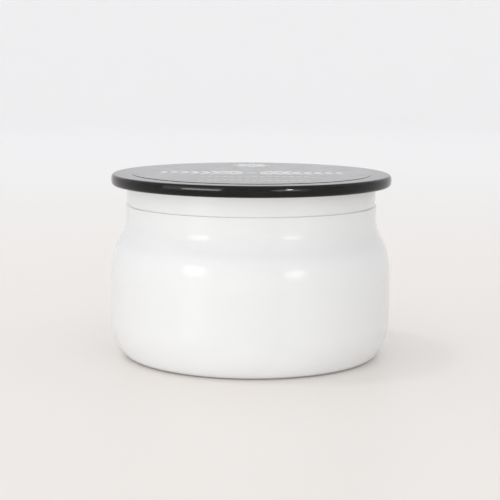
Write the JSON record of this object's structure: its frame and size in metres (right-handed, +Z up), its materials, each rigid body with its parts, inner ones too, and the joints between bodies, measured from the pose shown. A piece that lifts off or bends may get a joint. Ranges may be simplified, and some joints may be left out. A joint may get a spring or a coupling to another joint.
{
  "type": "candle jar",
  "caption": "Low, wide, round-shouldered glass jar, coated white, with a flat black metal lid that lifts off and seals the mouth with a finned gasket.",
  "frame": {"origin": "centre of the foot ring, in the plane that the jar stands on", "axes": "+Z up, along the jar's axis and the way the lid lifts; X and Y are any pair across it, because the shape is round"},
  "size_m": [0.11, 0.11, 0.072],
  "materials": {
    "coated_glass": "pressed glass with a smooth glossy white spray coat, opaque",
    "base_sticker": "blank matt white sticker",
    "black_tinplate": "satin black lacquer on stamped tinplate with a rolled edge",
    "lacquered_tinplate": "clear-lacquered drawn tinplate",
    "clear_silicone": "milky translucent silicone",
    "lid_sticker": null
  },
  "bodies": {
    "jar": {"jar_body": "coated_glass", "base_label": "base_sticker"},
    "lid": {"lid_cover": "black_tinplate", "lid_pan": "lacquered_tinplate", "lid_gasket": "clear_silicone", "lid_label": "lid_sticker"}
  },
  "joints": [
    {"name": "lid_lift", "type": "slide", "parent": "jar", "child": "lid", "axis": [0, 0, 1], "range_m": [0, 0.06]}
  ]
}
